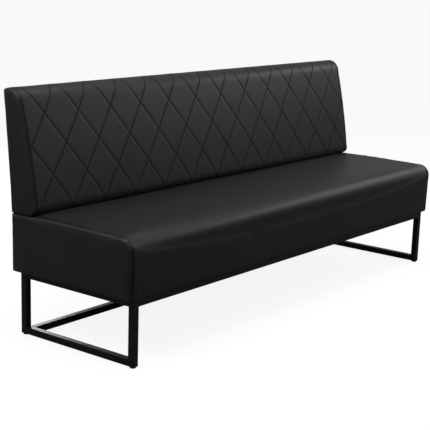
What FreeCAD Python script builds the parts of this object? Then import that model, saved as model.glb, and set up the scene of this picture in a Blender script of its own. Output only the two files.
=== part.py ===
import FreeCAD, Part
import math
import os
import Sketcher

# Free-standing restaurant bench: a padded seat block and a diamond quilted back on a square tube frame.
# X runs along the bench, the front faces -Y, Z is up. The origin lies on the floor under the middle.

doc = FreeCAD.newDocument("RestaurantBench")
V = FreeCAD.Vector

SIZES = [
    # Overall form
    ("bench_length", 2000),
    ("seat_depth", 560),
    ("seat_height", 450),
    ("back_corner_height", 894),
    ("back_top_fall", 27),
    ("back_overhang", 35),
    ("back_foot_depth", 125),
    ("back_head_depth", 69),
    # Steel frame
    ("tube_size", 25),
    ("tube_wall", 1.5),
    ("tube_corner_radius", 2.5),
    ("frame_height", 230),
    ("frame_side_inset", 33),
    ("frame_front_inset", 12),
    ("frame_rear_inset", 12),
    ("stretcher_rear_gap", 23),
    ("glide_diameter", 22),
    ("glide_height", 5),
    ("glide_edge_slope", 1.5),
    ("glide_stem_diameter", 8),
    ("glide_stem_length", 8),
    ("fit_clearance", 0.3),
    # Plates and screws that hold the seat on the frame
    ("tab_length", 40),
    ("tab_width", 30),
    ("tab_thickness", 3),
    ("screw_diameter", 6),
    ("screw_length", 15),
    ("screw_head_width", 10),
    ("screw_head_height", 4),
    # Timber carcass
    ("board_thickness", 15),
    ("base_panel_thickness", 12),
    ("deck_thickness", 12),
    ("rib_count", 4),
    ("edge_padding", 8),
    ("front_padding", 22),
    ("seat_foam_thickness", 80),
    ("back_front_board_thickness", 6),
    ("back_bottom_padding", 14),
    ("back_top_padding", 24),
    ("back_foam_thickness", 26),
    ("back_top_rail_height", 40),
    # Upholstery
    ("cover_thickness", 2),
    ("dust_cover_thickness", 1),
    ("hem_width", 30),
    ("seam_inset", 14),
    ("end_roll", 9),
    ("seat_front_radius", 48),
    ("seat_rear_radius", 8),
    ("seat_hem_radius", 6),
    ("seat_crown", 4),
    ("seat_draw_in", 4),
    ("back_seat_overlap", 1),
    ("back_top_front_radius", 52),
    ("back_top_rear_radius", 10),
    ("back_bottom_front_radius", 30),
    ("back_bottom_rear_radius", 6),
    # Quilting of the back
    ("quilt_panel_thickness", 12),
    ("quilt_columns", 12),
    ("quilt_margin", 22),
    ("quilt_diamond_share", 0.468),
    ("quilt_middle_share", 0.5225),
    ("quilt_tail_length", 22),
    ("channel_width", 14),
    ("channel_depth", 3),
    # Steel brackets between seat and back
    ("bracket_width", 40),
    ("bracket_thickness", 5),
    ("bracket_foot_gap", 19),
    ("bracket_upper_share", 0.596),
    ("bolt_diameter", 10),
    ("bolt_length", 17),
    ("bolt_head_width", 16),
    ("bolt_head_height", 6.4),
    ("bolt_edge_distance", 45),
    # Working allowance of every cut
    ("cut_overrun", 3),
]

sheet = doc.addObject("Spreadsheet::Sheet", "sizes")
for row, (alias, value) in enumerate(SIZES, start=1):
    sheet.set("A%d" % row, alias)
    sheet.set("B%d" % row, str(value))
    sheet.setAlias("B%d" % row, alias)
doc.recompute()

nodes = []


def size(alias):
    """Value of one driving dimension."""
    return float(sheet.get(alias))


def bind(item, bindings):
    """Tie properties of an object to expressions."""
    for name, expression in bindings.items():
        item.setExpression(name, expression)


def keep(item, label):
    """Name an object as a sub-part of the bench."""
    item.Label = label
    nodes.append(item)
    return item


# Places that several pieces share, as expressions of the sizes
FRONT = "-(sizes.seat_depth + sizes.back_overhang) / 2"
REAR = "(sizes.seat_depth - sizes.back_overhang) / 2"
FRAME_TOP = "(sizes.frame_height + sizes.glide_height)"
TUBE_X = "(sizes.bench_length / 2 - sizes.frame_side_inset - sizes.tube_size / 2)"
RAIL_SPAN = "(sizes.bench_length - 2 * sizes.frame_side_inset - 2 * sizes.tube_size)"
FRONT_TUBE_Y = "(%s + sizes.frame_front_inset + sizes.tube_size / 2)" % FRONT
REAR_TUBE_Y = "(%s - sizes.frame_rear_inset - sizes.tube_size / 2)" % REAR
LOOP_DEPTH = "(sizes.seat_depth - sizes.frame_front_inset - sizes.frame_rear_inset)"
BOX_LENGTH = "(sizes.bench_length - 2 * sizes.edge_padding)"
BOX_FRONT = "(%s + sizes.front_padding)" % FRONT
BOX_REAR = "(%s - sizes.edge_padding)" % REAR
BOX_BOTTOM = "(%s + sizes.dust_cover_thickness + sizes.cover_thickness)" % FRAME_TOP
DECK_TOP = "(sizes.seat_height - sizes.seat_foam_thickness)"
BAY = "(%s / (sizes.rib_count + 1))" % BOX_LENGTH


def evaluate(expression):
    """Value of an expression of the sizes, for code that places shapes itself."""
    return float(sheet.evalExpression(expression.replace("sizes.", "")))


def sketch_on(body, role, name):
    """Sketch on one of the body's own origin planes."""
    plane = [item for item in body.Origin.OriginFeatures if item.Role == role][0]
    sketch = body.newObject("Sketcher::SketchObject", name)
    sketch.AttachmentSupport = [(plane, "")]
    sketch.MapMode = "FlatFace"
    return sketch


def draw_outline(sketch, corners):
    """Closed run of lines whose corners are held at expressions of the sizes."""
    places = [(evaluate(across), evaluate(up)) for across, up in corners]
    count = len(places)
    first = sketch.GeometryCount
    for index in range(count):
        start = places[index]
        end = places[(index + 1) % count]
        sketch.addGeometry(Part.LineSegment(V(start[0], start[1], 0), V(end[0], end[1], 0)), False)
    for index in range(count):
        line = first + index
        following = first + (index + 1) % count
        sketch.addConstraint(Sketcher.Constraint("Coincident", line, 2, following, 1))
    for index, (across, up) in enumerate(corners):
        line = first + index
        for kind, expression, value in (
            ("DistanceX", across, places[index][0]),
            ("DistanceY", up, places[index][1]),
        ):
            number = sketch.addConstraint(Sketcher.Constraint(kind, -1, 1, line, 1, value))
            sketch.setExpression("Constraints[%d]" % number, expression)


def square(half):
    """Corners of a square about the sketch's origin."""
    return [("-" + half, "-" + half), (half, "-" + half), (half, half), ("-" + half, half)]


def draw_circle(sketch, across, up, diameter):
    """Circle held at a place and a diameter."""
    centre = V(evaluate(across), evaluate(up), 0)
    radius = evaluate(diameter) / 2
    circle = sketch.addGeometry(Part.Circle(centre, V(0, 0, 1), radius), False)
    for kind, expression, value in (("DistanceX", across, centre.x), ("DistanceY", up, centre.y)):
        number = sketch.addConstraint(Sketcher.Constraint(kind, -1, 1, circle, 3, value))
        sketch.setExpression("Constraints[%d]" % number, expression)
    number = sketch.addConstraint(Sketcher.Constraint("Diameter", circle, 2 * radius))
    sketch.setExpression("Constraints[%d]" % number, diameter)


def axes(x_axis, z_axis):
    """Rotation that turns a piece's own X and Z to the given directions."""
    return FreeCAD.Rotation(x_axis, z_axis.cross(x_axis), z_axis, "ZXY")


def place(item, rotation, x, y, z):
    """Put a piece in the bench: a fixed rotation and a base tied to the sizes."""
    item.Placement = FreeCAD.Placement(V(0, 0, 0), rotation)
    bind(item, {"Placement.Base.x": x, "Placement.Base.y": y, "Placement.Base.z": z})


def tube(label, length, mitred, holes=()):
    """Square tube along its own Z. Mitred ends leave its +X side long. Holes pierce the +X wall."""
    body = doc.addObject("PartDesign::Body", label)
    section = sketch_on(body, "XY_Plane", label + "_section")
    draw_outline(section, square("(sizes.tube_size / 2)"))
    draw_outline(section, square("(sizes.tube_size / 2 - sizes.tube_wall)"))
    pad = body.newObject("PartDesign::Pad", label + "_pad")
    pad.Profile = section
    bind(pad, {"Length": length})
    doc.recompute()
    half = size("tube_size") / 2
    corners = []
    for index, edge in enumerate(pad.Shape.Edges, start=1):
        start, end = edge.Vertexes[0].Point, edge.Vertexes[-1].Point
        runs_along = abs(start.x - end.x) < half and abs(start.y - end.y) < half
        if runs_along and min(abs(start.x), abs(start.y)) > half - size("tube_wall") / 2:
            corners.append("Edge%d" % index)
    rounding = body.newObject("PartDesign::Fillet", label + "_corners")
    rounding.Base = (pad, corners)
    bind(rounding, {"Radius": "sizes.tube_corner_radius"})
    if mitred:
        reach = "(sizes.tube_size / 2 + sizes.cut_overrun)"
        far = "(sizes.tube_size + sizes.cut_overrun)"
        ends = sketch_on(body, "XZ_Plane", label + "_mitres")
        draw_outline(ends, [
            (reach, "-sizes.cut_overrun"),
            ("-" + reach, far),
            ("-" + reach, "-sizes.cut_overrun"),
        ])
        draw_outline(ends, [
            (reach, "%s + sizes.cut_overrun" % length),
            ("-" + reach, "%s + sizes.cut_overrun" % length),
            ("-" + reach, "%s - %s" % (length, far)),
        ])
        cut = body.newObject("PartDesign::Pocket", label + "_mitre_cut")
        cut.Profile = ends
        cut.Type = "ThroughAll"
        cut.Midplane = True
    if holes:
        pierced = sketch_on(body, "YZ_Plane", label + "_holes")
        for up in holes:
            draw_circle(pierced, "0", up, "(sizes.glide_stem_diameter + 2 * sizes.fit_clearance)")
        cut = body.newObject("PartDesign::Pocket", label + "_hole_cut")
        cut.Profile = pierced
        cut.Reversed = True
        bind(cut, {"Length": "sizes.tube_size / 2 + sizes.cut_overrun"})
    doc.recompute()
    return keep(body, label)


def box(name, length, width, height, x, y, z):
    """Block whose low corner and sides are tied to the sizes."""
    block = doc.addObject("Part::Box", name)
    bind(block, {"Length": length, "Width": width, "Height": height})
    place(block, FreeCAD.Rotation(), x, y, z)
    return block


def solid_node(label, shape):
    """Sub-part whose solid is worked out from the sizes."""
    item = doc.addObject("Part::Feature", label)
    item.Shape = shape
    item.Placement = FreeCAD.Placement()
    return keep(item, label)


# Two end loops of mitred tube, each a front post, a rear post, a top rail and a floor rail
UP, DOWN, BACKWARD, FORWARD, RIGHT = V(0, 0, 1), V(0, 0, -1), V(0, 1, 0), V(0, -1, 0), V(1, 0, 0)
LOOP_FRONT = "(%s + sizes.frame_front_inset)" % FRONT


def end_loop(side, sign):
    """One end of the frame: side names it, sign puts it at the left or the right."""
    across = sign + TUBE_X
    low = "(sizes.glide_height + sizes.tube_size / 2)"
    high = "(%s - sizes.tube_size / 2)" % FRAME_TOP
    front_post = tube(side + "_front_post", "sizes.frame_height", True)
    place(front_post, axes(FORWARD, UP), across, FRONT_TUBE_Y, "sizes.glide_height")
    rear_post = tube(side + "_rear_post", "sizes.frame_height", True)
    place(rear_post, axes(BACKWARD, UP), across, REAR_TUBE_Y, "sizes.glide_height")
    top_rail = tube(side + "_top_rail", LOOP_DEPTH, True)
    place(top_rail, axes(UP, BACKWARD), across, LOOP_FRONT, high)
    holes = ("sizes.tube_size / 2", "%s - sizes.tube_size / 2" % LOOP_DEPTH)
    floor_rail = tube(side + "_floor_rail", LOOP_DEPTH, True, holes)
    place(floor_rail, axes(DOWN, BACKWARD), across, LOOP_FRONT, low)


def long_rails():
    """Rails along the bench: two under the seat and one stretcher at floor level."""
    high = "(%s - sizes.tube_size / 2)" % FRAME_TOP
    low = "(sizes.glide_height + sizes.tube_size / 2)"
    start = "-" + RAIL_SPAN + " / 2"
    stretcher_y = "(%s - sizes.frame_rear_inset - sizes.stretcher_rear_gap - sizes.tube_size / 2)" % REAR
    for label, y, z in (
        ("front_top_rail", FRONT_TUBE_Y, high),
        ("rear_top_rail", REAR_TUBE_Y, high),
        ("floor_stretcher", stretcher_y, low),
    ):
        place(tube(label, RAIL_SPAN, False), axes(UP, RIGHT), start, y, z)


def cross_bars():
    """Two short tubes between the long top rails, under the outer seat ribs."""
    length = "(%s - 2 * sizes.tube_size)" % LOOP_DEPTH
    start = "(%s + sizes.tube_size)" % LOOP_FRONT
    high = "(%s - sizes.tube_size / 2)" % FRAME_TOP
    for label, sign in (("left_cross_bar", "-"), ("right_cross_bar", "")):
        bar = tube(label, length, False)
        place(bar, axes(UP, BACKWARD), "%s(sizes.rib_count - 1) / 2 * %s" % (sign, BAY), start, high)


def floor_glides():
    """Round plastic feet under the four corners, each with a stem in the floor rail."""
    radius, stem = size("glide_diameter") / 2, size("glide_stem_diameter") / 2
    height, slope = size("glide_height"), size("glide_edge_slope")
    side = [(0, 0), (radius - slope, 0), (radius, slope), (radius, height), (stem, height)]
    side += [(stem, height + size("glide_stem_length")), (0, height + size("glide_stem_length"))]
    points = [V(out, 0, up) for out, up in side]
    glide = Part.Face(Part.makePolygon(points + points[:1])).revolve(V(0, 0, 0), V(0, 0, 1), 360)
    glides = []
    for x in (-evaluate(TUBE_X), evaluate(TUBE_X)):
        for y in (evaluate(FRONT_TUBE_Y), evaluate(REAR_TUBE_Y)):
            glides.append(glide.translated(V(x, y, 0)))
    solid_node("floor_glides", Part.makeCompound(glides))


def hexagon_screw(shank, length, head_width, head_height, point, way):
    """Screw with a hexagon head, its head's underside at a point and its shank along a direction."""
    corner = head_width / math.sqrt(3)
    angles = [math.radians(60 * turn) for turn in range(6)]
    rim = [V(corner * math.cos(angle), corner * math.sin(angle), 0) for angle in angles]
    head = Part.Face(Part.makePolygon(rim + rim[:1])).extrude(V(0, 0, -head_height))
    screw = head.fuse(Part.makeCylinder(shank / 2, length))
    screw.Placement = FreeCAD.Placement(point, FreeCAD.Rotation(UP, way))
    return screw


# Fixing plates welded inside the long top rails, and the screws that go up into the seat


def bay_centres():
    """Middles of the outer and middle bays between the seat's ribs."""
    reach = evaluate(BAY) * (int(size("rib_count")) // 2)
    return (-reach, 0, reach)


def fixing_places():
    """Screw centres under the seat, in the outer bays beside each long top rail."""
    inward = size("tube_size") / 2 + size("tab_width") / 2
    rows = (evaluate(FRONT_TUBE_Y) + inward, evaluate(REAR_TUBE_Y) - inward)
    return [(x, y) for x in bay_centres()[::2] for y in rows]


def fixing_holes(diameter, z, height):
    """Round cutters at the screw places."""
    return [Part.makeCylinder(diameter / 2, height, V(x, y, z)) for x, y in fixing_places()]


def fixing_tabs():
    """Flat plates, flush with the top of the frame, that carry the seat's screws."""
    under = evaluate(FRAME_TOP) - size("tab_thickness")
    plates = []
    for x, y in fixing_places():
        corner = V(x - size("tab_length") / 2, y - size("tab_width") / 2, under)
        plates.append(Part.makeBox(size("tab_length"), size("tab_width"), size("tab_thickness"), corner))
    bore = size("screw_diameter") + 2 * size("fit_clearance")
    cutters = fixing_holes(bore, under - size("cut_overrun"), size("tab_thickness") + 2 * size("cut_overrun"))
    pierced = [plate.cut(cutter) for plate, cutter in zip(plates, cutters)]
    solid_node("fixing_tabs", Part.makeCompound(pierced))


def fixing_screws():
    """Screws that hold the seat box down on the tabs."""
    under = evaluate(FRAME_TOP) - size("tab_thickness")
    form = [size("screw_" + name) for name in ("diameter", "length", "head_width", "head_height")]
    screws = [hexagon_screw(*form, V(x, y, under), UP) for x, y in fixing_places()]
    solid_node("fixing_screws", Part.makeCompound(screws))


# Outlines of the padded forms, seen from the end of the bench, as (y, z) corners


def shifted_corners(corners, insets):
    """Corners of an outline after each side moved inward by its own inset."""
    count = len(corners)
    lines = []
    for index in range(count):
        start, end = corners[index], corners[(index + 1) % count]
        length = math.hypot(end[0] - start[0], end[1] - start[1])
        along = ((end[0] - start[0]) / length, (end[1] - start[1]) / length)
        point = (start[0] - along[1] * insets[index], start[1] + along[0] * insets[index])
        lines.append((point, along))
    moved = []
    for index in range(count):
        (p, a), (q, b) = lines[index - 1], lines[index]
        turn = a[0] * b[1] - a[1] * b[0]
        reach = ((q[0] - p[0]) * b[1] - (q[1] - p[1]) * b[0]) / turn
        moved.append((p[0] + a[0] * reach, p[1] + a[1] * reach))
    return moved


ROUNDED_SHARE = 0.98


def rounded_wire(corners, radii, x):
    """Outline at one place along the bench: lines, and an arc at each corner that has a radius."""
    count = len(corners)
    bends = []
    for index in range(count):
        before, corner, after = corners[index - 1], corners[index], corners[(index + 1) % count]
        to_before = (before[0] - corner[0], before[1] - corner[1])
        to_after = (after[0] - corner[0], after[1] - corner[1])
        length_before, length_after = math.hypot(*to_before), math.hypot(*to_after)
        unit_before = (to_before[0] / length_before, to_before[1] / length_before)
        unit_after = (to_after[0] / length_after, to_after[1] / length_after)
        cosine = unit_before[0] * unit_after[0] + unit_before[1] * unit_after[1]
        half_angle = math.acos(cosine) / 2
        bends.append((unit_before, unit_after, half_angle, length_after, radii[index] / math.tan(half_angle)))
    # two roundings that would meet on the side between them are both made smaller
    fits = []
    for index in range(count):
        both = bends[index][4] + bends[(index + 1) % count][4]
        fits.append(min(1, bends[index][3] * ROUNDED_SHARE / both))
    stops = []
    for index in range(count):
        corner = corners[index]
        unit_before, unit_after, half_angle, _, tangent = bends[index]
        tangent *= min(fits[index - 1], fits[index])
        radius = tangent * math.tan(half_angle)
        bisector = (unit_before[0] + unit_after[0], unit_before[1] + unit_after[1])
        bisector_length = math.hypot(*bisector)
        depth = radius / math.sin(half_angle) - radius
        enter = (corner[0] + unit_before[0] * tangent, corner[1] + unit_before[1] * tangent)
        middle = tuple(corner[k] + bisector[k] / bisector_length * depth for k in (0, 1))
        leave = (corner[0] + unit_after[0] * tangent, corner[1] + unit_after[1] * tangent)
        stops.append([V(x, *point) for point in (enter, middle, leave)])
    edges = []
    for index in range(count):
        enter, middle, leave = stops[index]
        edges.append(Part.Arc(enter, middle, leave).toShape())
        edges.append(Part.LineSegment(leave, stops[(index + 1) % count][0]).toShape())
    return Part.Wire(edges)


def prism(corners, low_x, high_x):
    """Sharp cornered solid over a run of the bench."""
    points = [V(low_x, *corner) for corner in corners]
    return Part.Face(Part.makePolygon(points + points[:1])).extrude(V(high_x - low_x, 0, 0))


def strip_along(corners, side, depth):
    """Slab of the given depth inside one side of an outline, running past the bench all round."""
    over = size("cut_overrun")
    start, end = corners[side], corners[(side + 1) % len(corners)]
    length = math.hypot(end[0] - start[0], end[1] - start[1])
    along = ((end[0] - start[0]) / length, (end[1] - start[1]) / length)
    inward = (-along[1], along[0])
    reach = length
    slab = []
    for step, offset in ((-reach, -over), (length + reach, -over), (length + reach, depth), (-reach, depth)):
        slab.append(tuple(start[k] + along[k] * step + inward[k] * offset for k in (0, 1)))
    half = size("bench_length") / 2 + over
    return prism(slab, -half, half)


def seam_x():
    """Distance from the middle of the bench to the seams of the end panels."""
    return size("bench_length") / 2 - size("seam_inset")


def ring(outer, inner):
    """Layer between two outlines, between the seams of the end panels."""
    x = seam_x()
    whole, hollow = (Part.Face(rounded_wire(*line, -x)).extrude(V(2 * x, 0, 0)) for line in (outer, inner))
    return whole.cut(hollow)


ROLL_STEPS = 2


def end_rolls(outline):
    """How far the end of a padded block is drawn in at each side: hardly at all along the bottom."""
    return [size("cover_thickness")] + [size("end_roll")] * (len(outline[0]) - 1)


def padded_block(outline, base_inset):
    """Whole padded form with rounded ends, everywhere inside the outline by the base inset."""
    corners, radii = outline
    rolls = end_rolls(outline)
    roll_depth = size("seam_inset") - base_inset
    wires = []
    for step in range(-ROLL_STEPS, ROLL_STEPS + 1):
        angle = math.radians(90 * abs(step) / ROLL_STEPS)
        insets = [base_inset + (roll - base_inset) * (1 - math.cos(angle)) for roll in rolls]
        rounding = [max(radius - max(insets), radius / 2) for radius in radii]
        section = shifted_corners(corners, insets)
        x = seam_x() + roll_depth * math.sin(angle)
        if step < 0:
            wires.append(rounded_wire(section, rounding, -x))
        elif step == 0:
            wires.append(rounded_wire(section, rounding, -x))
            wires.append(rounded_wire(section, rounding, x))
        else:
            wires.append(rounded_wire(section, rounding, x))
    return Part.makeLoft(wires, True, True)


CROWN_SHARE = 0.49


def seat_outline():
    """Seat block seen from the end: crowned top, large front rounding, face drawn in at the hem."""
    front, rear, bottom = evaluate(FRONT), evaluate(REAR), evaluate(BOX_BOTTOM) - size("cover_thickness")
    half = size("seat_depth") / 2
    rise = size("seat_crown") / (1 - CROWN_SHARE / 2)
    peak = size("seat_height") + rise * CROWN_SHARE / 2
    crown_radius = CROWN_SHARE * half * half / rise
    corners = [
        (front + size("seat_draw_in"), bottom),
        (rear, bottom),
        (rear, peak - rise),
        (rear - half, peak),
        (front, peak - rise),
    ]
    hem = size("seat_hem_radius")
    radii = [hem, hem, size("seat_rear_radius"), crown_radius, size("seat_front_radius")]
    return corners, radii


def inner_outline(outline, insets):
    """Outline on the inside of a layer whose thickness is given for each side."""
    corners, radii = outline
    rounding = [max(radius - max(insets), size("cover_thickness")) for radius in radii]
    return shifted_corners(corners, insets), rounding


def beyond_seam(sign):
    """Block that holds everything outside the left or the right end seams."""
    over = size("cut_overrun")
    width, height = 2 * size("seat_depth"), 2 * size("back_corner_height")
    low = V(seam_x() if sign > 0 else -size("bench_length") / 2 - over, -width / 2, -over)
    return Part.makeBox(size("seam_inset") + over, width, height, low)


def end_cover(outline, sign):
    """Skin over one end of a padded block, from its seam outwards."""
    outside = padded_block(outline, 0)
    inside = padded_block(outline, size("cover_thickness"))
    return outside.cut(inside).common(beyond_seam(sign))


# Steel brackets: flat bars inside the upholstery, bent to the lean of the back


def back_base():
    """Height of the underside of the back, just below the crown of the seat."""
    return size("seat_height") - size("back_seat_overlap")


def rear_top():
    """Height of the rear top edge of the back, whose top slopes down from the brow."""
    return size("back_corner_height") - size("back_top_fall")


def rear_lean():
    """Angle of the back's rear face from upright."""
    return math.atan(size("back_overhang") / (rear_top() - back_base()))


def rear_point(distance, inset):
    """Point at a distance from the bend along the rear faces, and inset from them."""
    bend = (evaluate(REAR), back_base())
    lean = rear_lean()
    if distance < 0:
        return (bend[0] - inset, bend[1] + distance)
    if distance == 0:
        return (bend[0] - inset, bend[1] + inset * math.tan(lean / 2))
    along, inward = (math.sin(lean), math.cos(lean)), (-math.cos(lean), math.sin(lean))
    return tuple(bend[k] + along[k] * distance + inward[k] * inset for k in (0, 1))


def bracket_reach():
    """Lengths of a bracket's legs: down to just above the seat's base panel, and up most of the back."""
    down = back_base() - evaluate(BOX_BOTTOM) - size("base_panel_thickness") - size("bracket_foot_gap")
    slope = math.hypot(size("back_overhang"), rear_top() - back_base())
    return down, slope * size("bracket_upper_share")


def bracket_strip(x, grow):
    """Bent flat bar at one place along the bench, grown all round by an allowance."""
    near = size("edge_padding") + size("board_thickness") - grow
    far = near + size("bracket_thickness") + 2 * grow
    down, up = bracket_reach()
    low, high = -down - grow, up + grow
    outline = [rear_point(step, near) for step in (low, 0, high)]
    outline += [rear_point(step, far) for step in (high, 0, low)]
    half = size("bracket_width") / 2 + grow
    return prism(outline, x - half, x + half)


def bracket_slots():
    """Cutters for the slots that the brackets pass through."""
    return [bracket_strip(x, size("fit_clearance")) for x in bay_centres()]


def bolt_places():
    """Point on the bar's front face and inward direction of every bracket bolt."""
    face = size("edge_padding") + size("board_thickness") + size("bracket_thickness")
    down, up = bracket_reach()
    low = rear_point(size("bolt_edge_distance") - down, face)
    high = rear_point(up - size("bolt_edge_distance"), face)
    lean = rear_lean()
    places = []
    for x in bay_centres():
        places.append((V(x, *low), BACKWARD))
        places.append((V(x, *high), V(0, math.cos(lean), -math.sin(lean))))
    return places


def bolt_bores():
    """Round cutters for the bolts through the bar and into the board behind it."""
    radius = size("bolt_diameter") / 2 + size("fit_clearance")
    over = size("cut_overrun")
    length = size("bolt_length") + size("fit_clearance") + over
    return [Part.makeCylinder(radius, length, point - way * over, way) for point, way in bolt_places()]


def back_brackets():
    """Three bent bars that carry the back on the seat."""
    bores = bolt_bores()
    for name, x in zip(("left", "centre", "right"), bay_centres()):
        solid_node(name + "_back_bracket", bracket_strip(x, 0).cut(bores))


def bracket_bolts():
    """Screws that hold each bracket on the rear boards, one in each leg."""
    form = [size("bolt_" + name) for name in ("diameter", "length", "head_width", "head_height")]
    bolts = [hexagon_screw(*form, point, way) for point, way in bolt_places()]
    solid_node("bracket_bolts", Part.makeCompound(bolts))


# Seat: plywood box, foam and covers

BOARD_Z = "(%s + sizes.base_panel_thickness)" % BOX_BOTTOM
BOARD_HEIGHT = "(%s - sizes.deck_thickness - %s)" % (DECK_TOP, BOARD_Z)
BOX_DEPTH = "(%s - %s)" % (BOX_REAR, BOX_FRONT)


def cut_node(label, block, cutters):
    """Sub-part made of a block less its holes and slots."""
    tool = doc.addObject("Part::Feature", label + "_cutters")
    tool.Shape = Part.makeCompound(cutters)
    cut = doc.addObject("Part::Cut", label)
    cut.Base = block
    cut.Tool = tool
    return keep(cut, label)


def seat_box():
    """Base panel, four walls, ribs and deck of the seat."""
    start = "-" + BOX_LENGTH + " / 2"
    thickness = "sizes.board_thickness"
    base = box("seat_base_block", BOX_LENGTH, BOX_DEPTH, "sizes.base_panel_thickness", start, BOX_FRONT, BOX_BOTTOM)
    over = size("cut_overrun")
    reach = evaluate(FRAME_TOP) - size("tab_thickness") + size("screw_length") + size("fit_clearance")
    low = evaluate(BOX_BOTTOM) - over
    pilot = size("screw_diameter") + 2 * size("fit_clearance")
    cut_node("seat_base_panel", base, fixing_holes(pilot, low, reach - low))
    front = box("seat_front_board", BOX_LENGTH, thickness, BOARD_HEIGHT, start, BOX_FRONT, BOARD_Z)
    keep(front, "seat_front_board")
    rear_y = "(%s - sizes.board_thickness)" % BOX_REAR
    rear = box("seat_rear_block", BOX_LENGTH, thickness, BOARD_HEIGHT, start, rear_y, BOARD_Z)
    cut_node("seat_rear_board", rear, bolt_bores())
    deck_z = "(%s - sizes.deck_thickness)" % DECK_TOP
    deck = box("seat_deck_block", BOX_LENGTH, BOX_DEPTH, "sizes.deck_thickness", start, BOX_FRONT, deck_z)
    cut_node("seat_deck", deck, bracket_slots())
    between = "(%s - 2 * sizes.board_thickness)" % BOX_DEPTH
    inner_y = "(%s + sizes.board_thickness)" % BOX_FRONT
    places = [("seat_left_board", start), ("seat_right_board", "%s / 2 - sizes.board_thickness" % BOX_LENGTH)]
    for number in range(1, int(size("rib_count")) + 1):
        middle = "%s + %d * %s" % (start, number, BAY)
        places.append(("seat_rib_%d" % number, middle + " - sizes.board_thickness / 2"))
    for label, x in places:
        keep(box(label, thickness, between, BOARD_HEIGHT, x, inner_y, BOARD_Z), label)


def seat_foam():
    """Foam over and round the box, to the inside of the covers, with slots for the brackets."""
    block = padded_block(seat_outline(), size("cover_thickness"))
    half = evaluate(BOX_LENGTH) / 2
    low, high = evaluate(BOX_BOTTOM), evaluate(DECK_TOP)
    depth, front = evaluate(BOX_DEPTH), evaluate(BOX_FRONT)
    below = size("cut_overrun")
    room = Part.makeBox(2 * half, depth, high - low + below, V(-half, front, low - below))
    solid_node("seat_foam", block.cut([room] + bracket_slots()))


def seat_opening():
    """Cutter for the underside inside the stapled hem of the seat covers."""
    over = size("cut_overrun")
    hem = size("hem_width")
    length, depth = size("bench_length") - 2 * hem, size("seat_depth") - 2 * hem
    low = evaluate(BOX_BOTTOM) - size("cover_thickness") - over
    corner = V(-length / 2, evaluate(FRONT) + hem, low)
    return Part.makeBox(length, depth, size("cover_thickness") + 2 * over, corner)


def seat_covers():
    """Top and front panel in one, two end panels and a rear panel, sewn along the seams."""
    outline = seat_outline()
    opening = seat_opening()
    skin = ring(outline, inner_outline(outline, [size("cover_thickness")] * 5)).cut(opening)
    rear = strip_along(outline[0], 1, size("seam_inset"))
    solid_node("seat_top_cover", skin.cut([rear] + bracket_slots()))
    solid_node("seat_rear_cover", skin.common(rear))
    for name, sign in (("left", -1), ("right", 1)):
        solid_node("seat_%s_cover" % name, end_cover(outline, sign).cut(opening))


def dust_cover():
    """Thin cloth that closes the underside of the seat, with holes for the screws."""
    margin = size("edge_padding")
    length, depth = size("bench_length") - 2 * margin, size("seat_depth") - 2 * margin
    corner = V(-length / 2, evaluate(FRONT) + margin, evaluate(FRAME_TOP))
    cloth = Part.makeBox(length, depth, size("dust_cover_thickness"), corner)
    over = size("cut_overrun")
    bore = size("screw_diameter") + 2 * size("fit_clearance")
    height = size("dust_cover_thickness") + 2 * over
    solid_node("dust_cover", cloth.cut(fixing_holes(bore, corner.z - over, height)))


# Back: timber frame, foam, quilted front panel and plain covers


def back_outline():
    """Back seen from the end: a leaning wedge with a rounded toe and a brow that rolls over to the rear."""
    rear, base = evaluate(REAR), back_base()
    head = rear + size("back_overhang")
    corners = [
        (rear - size("back_foot_depth"), base),
        (rear, base),
        (head, rear_top()),
        (head - size("back_head_depth"), size("back_corner_height")),
    ]
    names = ("bottom_front", "bottom_rear", "top_rear", "top_front")
    return corners, [size("back_%s_radius" % name) for name in names]


def back_frame_corners():
    """Outside of the timber frame inside the back."""
    front = size("quilt_panel_thickness") + size("back_foam_thickness")
    insets = [size("back_bottom_padding"), size("edge_padding"), size("back_top_padding"), front]
    return shifted_corners(back_outline()[0], insets)


def back_frame():
    """Rear board, thin front board, bottom board, top rail, two end boards and ribs of the back."""
    half = evaluate(BOX_LENGTH) / 2
    outside = back_frame_corners()
    block = prism(outside, -half, half)
    board = size("board_thickness")
    front = size("back_front_board_thickness")
    solid_node("back_rear_board", block.common(strip_along(outside, 1, board)).cut(bolt_bores()))
    solid_node("back_front_board", block.common(strip_along(outside, 3, front)))
    core = shifted_corners(outside, [0, board, 0, front])
    middle = prism(core, -half, half)
    bottom = middle.common(strip_along(core, 0, board))
    solid_node("back_bottom_board", bottom.cut(bracket_slots()))
    solid_node("back_top_rail", middle.common(strip_along(core, 2, size("back_top_rail_height"))))
    bay = shifted_corners(core, [board, 0, size("back_top_rail_height"), 0])
    places = [("back_left_board", -half), ("back_right_board", half - board)]
    for number in range(1, int(size("rib_count")) + 1):
        places.append(("back_rib_%d" % number, -half + number * evaluate(BAY) - board / 2))
    for label, x in places:
        solid_node(label, prism(bay, x, x + board))


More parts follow.
